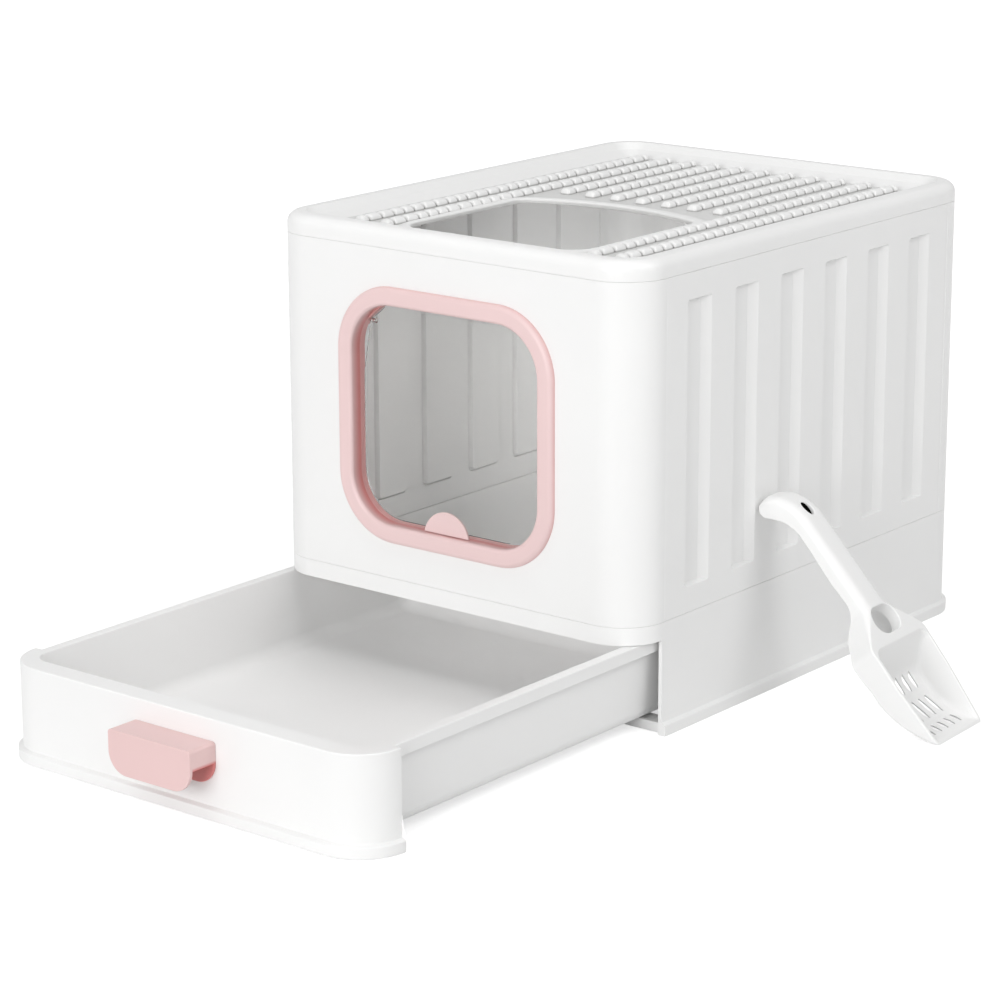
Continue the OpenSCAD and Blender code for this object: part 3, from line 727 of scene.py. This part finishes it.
def holeOutline(k):
    # rounded front corners, straight sides and a bowed rear edge; returns centres, directions and radii
    half, radius, frontRadius = k["holeWidth"] / 2, k["holeRearRadius"], k["holeRadius"]
    rise = k["holeApex"] - k["holeSide"]
    bowRadius = (half ** 2 + rise ** 2) / (2 * rise)
    bowY = k["holeApex"] - bowRadius
    x = half - radius
    y = bowY + math.sqrt((bowRadius - radius) ** 2 - x ** 2)
    turn = math.degrees(math.atan2(y - bowY, x))
    nearX, near = half - frontRadius, k["holeFront"] + frontRadius
    arcs = ((x, y, 0, turn, 10), (0, bowY, turn, 180 - turn, 28), (-x, y, 180 - turn, 180, 10),
            (-nearX, near, 180, 270, 14), (nearX, near, 270, 360, 14))
    radii = np.repeat([radius, bowRadius, radius, frontRadius, frontRadius], [arc[-1] + 1 for arc in arcs])
    return arcStations(*arcs), radii


def lidPlate(h, k):
    # rings from the hole's thin edge over its lip and collar to the foot of the rim's slope, and back below
    (centres, directions), radii = holeOutline(k)
    edge = centres + directions * radii[:, None]
    collar = k["collarSide"] + (k["collarBack"] - k["collarSide"]) * smoothStep(edge[:, 1:], 150, 200)
    floor, plate = k["floor"], k["plate"]
    lip, top = k["lip"][-1]
    rings = [atLevel(edge + directions * out, level) for out, level in k["lip"]]
    for share in np.linspace(0.08, 1, 12):
        level = floor + (top - floor) * (1 - smoothStep(share, 0, 1))
        rings.append(atLevel(edge + directions * (lip + (collar - lip) * share), level))
    # rays from the middle of the hole reach the plate's border, just under the rim's foot
    inset = k["foot"] - k["tuck"]
    middle, last = np.array(k["middle"]), edge + directions * collar
    rayX, rayY = np.transpose(last - middle)
    roomX = h["width"] / 2 - inset
    roomY = np.where(rayY > 0, h["depth"] - inset - middle[1], middle[1] - inset)
    reach = np.minimum(roomX / np.maximum(np.abs(rayX), 1e-6), roomY / np.maximum(np.abs(rayY), 1e-6))
    border = middle + (last - middle) * reach[:, None]
    rings += [atLevel(last + (border - last) * share, floor) for share in (0.25, 0.5, 0.75, 1.0)]
    rings += [atLevel(border, floor - plate), atLevel(last, floor - plate)]
    return ringPart(np.stack(rings))


ridges = {
    "pitch": 25.0, "side": 5, "outerRows": (4, 5), "halfWidth": 4.7, "height": 5.0, "base": 0.3,
    "start": 48.0, "backStart": 242.5, "end": 421.0,
    "firstNotch": 57.0, "steps": (0, 14.7, 29.4, 41.5, 53.5), "group": 65.6, "groups": 8,
    "notch": 1.9, "nose": 3.0,
}


def ridgePart(x, start, end, r, level):
    # bumps between the notches: each ends in an upright wall and a quarter ellipse above it
    places = (r["firstNotch"] + np.arange(r["groups"])[:, None] * r["group"] + np.array(r["steps"])).ravel()
    places = places[(places > start + 3) & (places < end - 3)]
    a = np.concatenate([[start], places + r["notch"] / 2])[:, None]
    b = np.concatenate([places - r["notch"] / 2, [end]])[:, None]
    # stations of one bump: the notch's floor, its upright wall and the rounding above
    turn = np.radians(np.linspace(0, 90, 7))
    nose = np.minimum(r["nose"], (b - a) / 2.2) * np.concatenate([[0], 0.02 + 0.98 * (1 - np.cos(turn))])
    y = np.concatenate([a + nose, (b - nose)[:, ::-1]], 1).ravel()
    rising = np.concatenate([[0], 0.35 + 0.65 * np.sin(turn)])
    share = np.tile(np.concatenate([rising, rising[::-1]]), len(a))
    ends = np.ones_like(share)
    ends[:len(rising)], ends[-len(rising):] = rising, rising[::-1]
    height = (r["base"] + (r["height"] - r["base"]) * share) * (0.4 + 0.6 * ends)
    width = r["halfWidth"] * (0.8 + 0.2 * share) * (0.6 + 0.4 * ends)
    angle = np.radians(np.linspace(0, 180, 17))
    across = np.sign(np.cos(angle)) * np.abs(np.cos(angle)) ** 0.8
    rise = np.sin(angle) ** 0.7
    grid = np.broadcast_arrays(x + width[:, None] * across, y[:, None], level + height[:, None] * rise)
    points = np.stack(grid, -1)
    foot = points[:, [-1, 0]].copy()
    foot[..., 2] = level - 0.6
    return ringPart(np.concatenate([points, foot], 1), closed=False)


def buildLid(h, k, r):
    # the outer rows run beside the hole, the others start behind it
    rows = []
    for i in range(-r["side"], r["side"] + 1):
        start = r["start"] if abs(i) in r["outerRows"] else r["backStart"]
        rows.append(ridgePart(i * r["pitch"], start, r["end"], r, k["floor"]))
    addPiece(addShape("lidCover", lidRim(h, k)), "lid", "lid")
    addPiece(addShape("lidDeck", lidPlate(h, k)), "lid", finish=lidDeckShadedWhite)
    addPiece(addShape("lidRidges", *rows), "lid", finish=lidRidgeFootShaded)


buildLid(housing, lid, ridges)
print("lid built")


drawer = {
    "out": 295.5, "top": 73.9, "length": 445.0, "low": 0.5, "wall": 3.0,
    "lipX": 169.6, "lipFront": 9.4, "lipWidth": 8.6, "lipHeight": 9.9, "lipFoot": 18.6, "radius": 24.0,
    "floorLow": 8.3, "floor": 3.2, "wrap": 35.9, "edge": 0.9,
}


def basinInside(t):
    # inner floor, fillet, drafted wall and rounded rim edge; values are (distance from corner axis, height)
    z, top, rim = t["floorLow"] + t["floor"], t["top"], t["radius"] - t["lipWidth"]
    return roundCorners([(0, z), (11, z), (rim, top), (rim + 4, top)], [0, 10.6, t["edge"], 0], 10)[:-1]


def basinOutside(t):
    # outer wall below the lip, bottom fillet and underside
    low = t["floorLow"]
    return roundCorners([(t["lipFoot"], t["top"] - t["lipHeight"]), (14.4, low), (0, low)], [0, 12, 0], 10)


def frontOutside(t, h):
    # rim's outer edge, front face, foot flange and the hollow behind it, from the housing's corner axis
    c, top, low, foot, out = h["corner"], t["top"], t["low"], h["footHeight"], h["corner"] + h["footOut"]
    inside, under = c - t["wall"], top - t["wall"]
    corners = [(c - 4, top), (c, top), (c, foot), (out, foot - h["footRise"]), (out, low), (inside, low),
               (inside, under), (c - 9, under)]
    return roundCorners(corners, [0, t["edge"] + 0.2, 0.5, 1.0, 0.5, 0.4, 0.8, 0], 6)[1:]


def sideOutside(t, count):
    # the same number of points as the front's section, run down the plain lip
    r, top, low = t["radius"], t["top"], t["top"] - t["lipHeight"]
    corners = [(r - 4, top), (r, top), (r, low), (t["lipFoot"], low)]
    outline = roundCorners(corners, [0, t["edge"], 0.6, 0], 6)[1:-1]
    spare = np.repeat(outline[-1:], count - len(outline), 0)
    return np.concatenate([outline, spare])


def buildTray(t, h):
    inside, outside = basinInside(t), basinOutside(t)
    front = frontOutside(t, h)
    side = sideOutside(t, len(front))
    steps = h["arcSteps"]
    x, near, far = t["lipX"] - t["radius"], t["lipFront"] + t["radius"], t["length"] - t["radius"]
    tilt = math.degrees(math.asin((h["corner"] - t["wrap"]) / h["corner"]))
    # side and back run: one corner axis for every point of the section
    sidePoints = carry(rearRun(x, t["wrap"], far, steps), np.concatenate([inside, side, outside]))
    # front run: the basin keeps its own corner axis and the front follows the housing's
    basinLoop = arcStations((-x, t["wrap"], 180, 180, 0), (-x, near, 180, 270, steps),
                            (x, near, 270, 360, steps), (x, t["wrap"], 360, 360, 0))
    frontLoop = arcStations((-cornerX, nearY, 180 + tilt, 180 + tilt, 0),
                            (-cornerX, nearY, 181 + tilt, 270, steps),
                            (cornerX, nearY, 270, 359 - tilt, steps),
                            (cornerX, nearY, 360 - tilt, 360 - tilt, 0))
    runs = (basinLoop, inside), (frontLoop, front), (basinLoop, outside)
    frontPoints = np.concatenate([carry(loop, section) for loop, section in runs], 1)
    points = np.concatenate([sidePoints, frontPoints]) - (0, t["out"], 0)
    addPiece(addShape("drawerTray", filledPart(points)), "drawer", "drawer_tray", sharp=40)


buildTray(drawer, housing)
softCopy("drawer_handle", "drawerHandle", "drawer", 0.9, 4, handleShadedPink)
print("drawer built")


scoop = {
    "tip": (347.4, 178.4), "lean": 46.5, "yaw": 3.0, "shell": 2.2, "wall": 3.0,
    "rim": ((0, 0), (50, 3), (83.5, 5.2), (122, 6.6), (195, 8)),
    "bendStart": 195.0, "bendCentre": -38.0, "bendAngle": 47.0, "noseLevel": -2.3, "noseRadius": 8.1,
    "bendTop": ((0, 8), (26, 7.6), (38, 7.0), (47, 5.8)),  # levels over the angle of the bend
    "bendLow": ((0, -5.2), (8, -6.4), (25, -8.7), (33, -9.8), (47, -10.4)),
    "bowl": (52.0, 48.84, 69.14), "bowlRear": (55.6, -6.3, 14.0), "ramp": (87.5, 10.0),  # the bowl's floor
    "heel": (99.5, -7.5, 12.0), "throat": (128.6, -26.2, 20.0),  # arcs below the bowl's rear and the grip
    "gripUnder": ((147, -6.8), (161, -5.8), (175, -4.7), (189, -4.4), (195, -5.2)),
    "sides": ((-1, 34.5), (50, 39.9)), "shoulder": (82.0, 31.5, 9.0), "waist": (118.5, 24.0, 9.0),
    "gripHalf": 15.0, "gripEdge": 5.5, "rimEdge": 1.3, "noseCorner": 12.0, "noseEnd": 232.0,
    "thumb": (102.0, 5.2, 11.2, -4.0),  # middle, half of its straight sides, radius, lower end of its collar
    # the hang hole's last value is the level where its near-black sheet of painted shade sits
    "hang": (203.6, 6.4, 4.4, 3.0),  # middle, half length, half width and the level of its dark floor
}


def arcPoints(x, y, radius, start, end, steps=12):
    # even steps along a circle's arc, from start to end in degrees
    angle = np.radians(np.linspace(start, end, steps + 1))
    return np.stack([x + radius * np.cos(angle), y + radius * np.sin(angle)], 1)


def follow(s, *runs):
    # value at s of the line through all the listed points
    line = np.concatenate([np.atleast_2d(run) for run in runs])
    return np.interp(s, line[:, 0], line[:, 1])


def scoopUnder(s, q):
    # belly, one shell below the bowl's floor, then the heel and the underside of the grip
    x, y, radius = q["bowl"]
    return follow(s, arcPoints(x, y, radius + q["shell"], 223.2, 270, 40), arcPoints(*q["heel"], -86, -55),
                  arcPoints(*q["throat"], 125, 92), q["gripUnder"])


def scoopFloor(s, q):
    # floor of the bowl, its rounding and the sloped rear wall
    return follow(s, arcPoints(*q["bowl"], 222, 270, 40), arcPoints(*q["bowlRear"], -90, -40), q["ramp"])


def scoopHalf(s, q):
    # half of the width: the bowl widens a little, then two arcs lead to the grip
    return follow(s, q["sides"], arcPoints(*q["shoulder"], 90, 45), arcPoints(*q["waist"], 225, 270),
                  (240, q["gripHalf"]))


def scoopDraft(s):
    # lean of the side walls, which fades out towards the grip
    return 0.13 * (1 - smoothStep(s, 90, 118))


def scoopSections(q):
    # stations along the length, round the bend and over the nose
    straight = np.concatenate([[0.25, 0.6, 1.1, 1.8, 2.6], np.linspace(3.4, 72, 44),
                               np.linspace(72.8, 86, 34), np.linspace(87, 130, 44),
                               np.linspace(134, q["bendStart"] - 3, 20)])
    bend = np.linspace(0, math.radians(q["bendAngle"]), 22)
    cap = q["noseRadius"] * np.sin(np.radians(np.linspace(6, 88, 14)))
    s = np.pad(straight, (0, len(bend) + len(cap)), constant_values=q["bendStart"])
    turn = np.pad(bend, (len(straight), len(cap)), constant_values=(0, bend[-1]))
    past = np.pad(cap, (len(straight) + len(bend), 0))
    nose = np.sqrt(np.maximum(q["noseRadius"] ** 2 - past ** 2, 0))
    bent, angle = s >= q["bendStart"], np.degrees(turn)
    top = np.where(bent, follow(angle, q["bendTop"]), follow(s, q["rim"]))
    under = np.where(bent, follow(angle, q["bendLow"]), scoopUnder(s, q))
    top = np.where(past > 0, q["noseLevel"] + nose, top)
    under = np.where(past > 0, q["noseLevel"] - nose, under)
    half = scoopHalf(s, q)
    half = half - 5 * (1 - np.sqrt(1 - 0.98 * np.clip(1 - s / 5, 0, 1) ** 2))
    # depth of the bowl fades out softly at its rear edge; its plan is drawn in at the rear corners
    depth = top - scoopFloor(s, q)
    depth = np.where(s > 92, 0, (depth + np.sqrt(depth ** 2 + 0.12)) / 2)
    inner = half - q["wall"] - 8.6 * (1 - np.sqrt(1 - np.clip((s - 73.5) / 10, 0, 0.999) ** 2))
    thick = top - under
    neck = smoothStep(s, 85, 116)
    edge = np.minimum(q["rimEdge"] + (q["gripEdge"] - q["rimEdge"]) * neck, 0.42 * thick)
    wide = edge * (1 + 0.5 * neck)
    inner = np.minimum(inner, half - wide - 2)
    draft = scoopDraft(s) * thick
    foot = np.minimum(5 - 4 * smoothStep(s, 60, 76), 0.4 * thick)
    inEdge, inFoot = np.minimum(0.8, 0.4 * depth), np.minimum(4.5, 0.5 * depth)
    turnIn = np.minimum(4.5, 0.4 * inner)
    # half of each section from the middle of its underside round the rim to the middle of its upper side
    quarter = np.radians(np.linspace(0, 90, 7))
    sine, cosine = np.sin(quarter), np.cos(quarter)

    def column(value):
        return np.asarray(value)[:, None]

    def pair(v, n):
        return np.stack(np.broadcast_arrays(v, n), -1)

    low, high, out = column(under), column(top), column(half)
    footMiddle, inMiddle = column(half - draft - foot), column(inner - 0.12 * depth - turnIn)
    parts = [pair(footMiddle * np.array([[0, 0.35, 0.7]]), low),
             pair(footMiddle + column(foot) * sine, low + column(foot) * (1 - cosine)),
             pair(out - column(draft) / 2, (low + high) / 2),
             pair(out - column(wide) * (1 - cosine), high - column(edge) * (1 - sine)),
             pair(column(inner) + 0.8 * (1 - sine), high - column(inEdge) * (1 - cosine)),
             pair(column(inner - 0.06 * depth), high - column(depth) / 2),
             pair(inMiddle + column(turnIn) * cosine, high - column(depth - inFoot) - column(inFoot) * sine),
             pair(inMiddle * np.array([[0.7, 0.35, 0]]), high - column(depth))]
    side = np.concatenate(parts, 1)
    section = np.concatenate([side, side[:, -2:0:-1] * (-1, 1)], 1)
    v, n = section[..., 0], section[..., 1]
    radial, turn = n - q["bendCentre"], turn[:, None]
    bent = bent[:, None]
    u = np.where(bent, q["bendStart"] + radial * np.sin(turn) + past[:, None] * np.cos(turn), s[:, None])
    n = np.where(bent, q["bendCentre"] + radial * np.cos(turn) - past[:, None] * np.sin(turn), n)
    # the nose's plan ends in two round corners
    c = q["noseCorner"]
    beyond = np.clip(u - q["noseEnd"] + c, 0, 0.98 * c)
    v = v * (q["gripHalf"] - c + np.sqrt(c ** 2 - beyond ** 2)) / q["gripHalf"]
    return np.stack([u, v, n], -1)


def layScoop(points, q):
    # from (along, across, out) to the place where it leans on the wall
    lean, yaw = math.radians(q["lean"]), math.radians(q["yaw"])
    u, v, n = points[..., 0], points[..., 1], points[..., 2]
    x = -u * math.cos(lean) + n * math.sin(lean)
    z = u * math.sin(lean) + n * math.cos(lean)
    y = -v
    return np.stack([q["tip"][0] + x * math.cos(yaw) - y * math.sin(yaw),
                     q["tip"][1] + x * math.sin(yaw) + y * math.cos(yaw), z], -1)


def columnShape(name, rings, q):
    # closed stack of outlines, each (points in plan, heights), in the scoop's own directions
    points = layScoop(np.stack([atLevel(plan, level) for plan, level in rings]), q)
    return addShape(name, ringPart(points, closed=False))


def stadium(u, straight, radius):
    # two half circles joined by straight sides that run across the scoop
    ends = (straight, 0), (-straight, 180)
    return np.concatenate([arcPoints(u, v, radius, start, start + 180, 16) for v, start in ends])


def openingRings(outline, q, low):
    # outlines of an opening that widens in a small rounding just below the upper surface
    surface = np.concatenate([np.array(q["rim"]), arcPoints(q["bendStart"], q["bendCentre"], 46, 88, 43)])
    rings = []
    for grow, sink in ((0, None), (0, 0.9), (0.12, 0.45), (0.45, 0.12), (0.9, -0.02), (0.9, -6)):
        plan = outline(grow)
        rings.append((plan, low if sink is None else np.interp(plan[:, 0], *surface.T) - sink))
    return rings


def hollowCutter(q):
    # space under the grip and shoulders: drafted walls one shell thick, open below
    u = np.concatenate([[69.5, 76.0], np.linspace(84.5, 122, 24), [150.0, 188.0]])
    half, top = scoopHalf(u, q), follow(u, q["rim"])
    ceiling = follow(u, [(69.5, -15), (84.5, 2.8), (188, 5.3)])
    slope = scoopDraft(u)
    deep = np.full(len(u), -45.0)
    rows = []
    for side, level in ((1, ceiling), (1, deep), (-1, deep), (-1, ceiling)):
        rows.append(np.stack([u, side * (half - q["shell"] - slope * (top - level)), level], 1))
    return addShape("hollow", ringPart(layScoop(np.stack(rows, 1), q), closed=False))


slots = {
    "pitch": 10.1, "halfWidth": 2.3, "count": 5, "flare": 2.0,
    "rows": ((55.4, 7.4), (32.0, 9.0), (13.4, 4.3)),  # middle and half length
}


def slotOutline(u, v, halfLength, halfWidth):
    # a spindle: width falls from the middle to both ends as a root of the cosine
    share = np.sin(np.linspace(-1, 1, 17) * math.pi / 2)
    width = halfWidth * np.cos(share * math.pi / 2) ** 0.45 + 0.02
    upper = np.stack([u + halfLength * share, v + width], 1)
    return np.concatenate([upper, np.stack([upper[::-1, 0], 2 * v - upper[::-1, 1]], 1)[1:-1]])[::-1]


def buildScoop(q, s):
    # the body less the hollow under its grip, the slots, the thumb hole and the hang hole, with a near-black
    # sheet of painted shade inside the hang hole
    middle, halfLength, halfWidth, deep = q["hang"]
    u, straight, radius, collarLow = q["thumb"]

    def thumb(grow):
        return stadium(u, straight, radius + grow)

    def leaf(grow):
        return slotOutline(middle, 0, halfLength + grow, halfWidth + grow)

    hollow, collar = hollowCutter(q), thumb(q["shell"])
    cutAway(hollow, [columnShape("collar", [(collar, collarLow), (collar, 30)], q)])
    cutters = [hollow]
    for place, length in s["rows"]:
        for i in range(s["count"]):
            across = (i - (s["count"] - 1) / 2) * s["pitch"]
            plan = slotOutline(place, across, length, s["halfWidth"])
            wide = slotOutline(place, across, length + s["flare"], s["halfWidth"] + s["flare"])
            rings = [(wide, -60), (wide, scoopFloor(wide[:, 0], q) - q["shell"] - 0.5),
                     (plan, scoopFloor(plan[:, 0], q) - 0.7), (plan, 1)]
            cutters.append(columnShape("slot", rings, q))
    cutters.append(columnShape("thumb", openingRings(thumb, q, -40), q))
    cutters.append(columnShape("hang", openingRings(leaf, q, deep - 3), q))
    body = addShape("scoopBody", ringPart(layScoop(scoopSections(q), q), closed=False))
    addPiece(body, "scoop", "scoop", sharp=40, cutters=cutters, finish=scoopLightenedWhite)
    # rings of the near-black sheet of painted shade that stands in for the hang hole's unlit inside
    shadeSheetSteps = ((0.3, -3.6), (0.3, 1.6), (-0.15, 1.6), (-0.15, -2.6))
    rings = [(leaf(grow), deep + rise) for grow, rise in shadeSheetSteps]
    addPiece(columnShape("scoopHangShadeSheet", rings, q), "scoop", finish=hangShadeSheet)


buildScoop(scoop, slots)
print("scoop built")
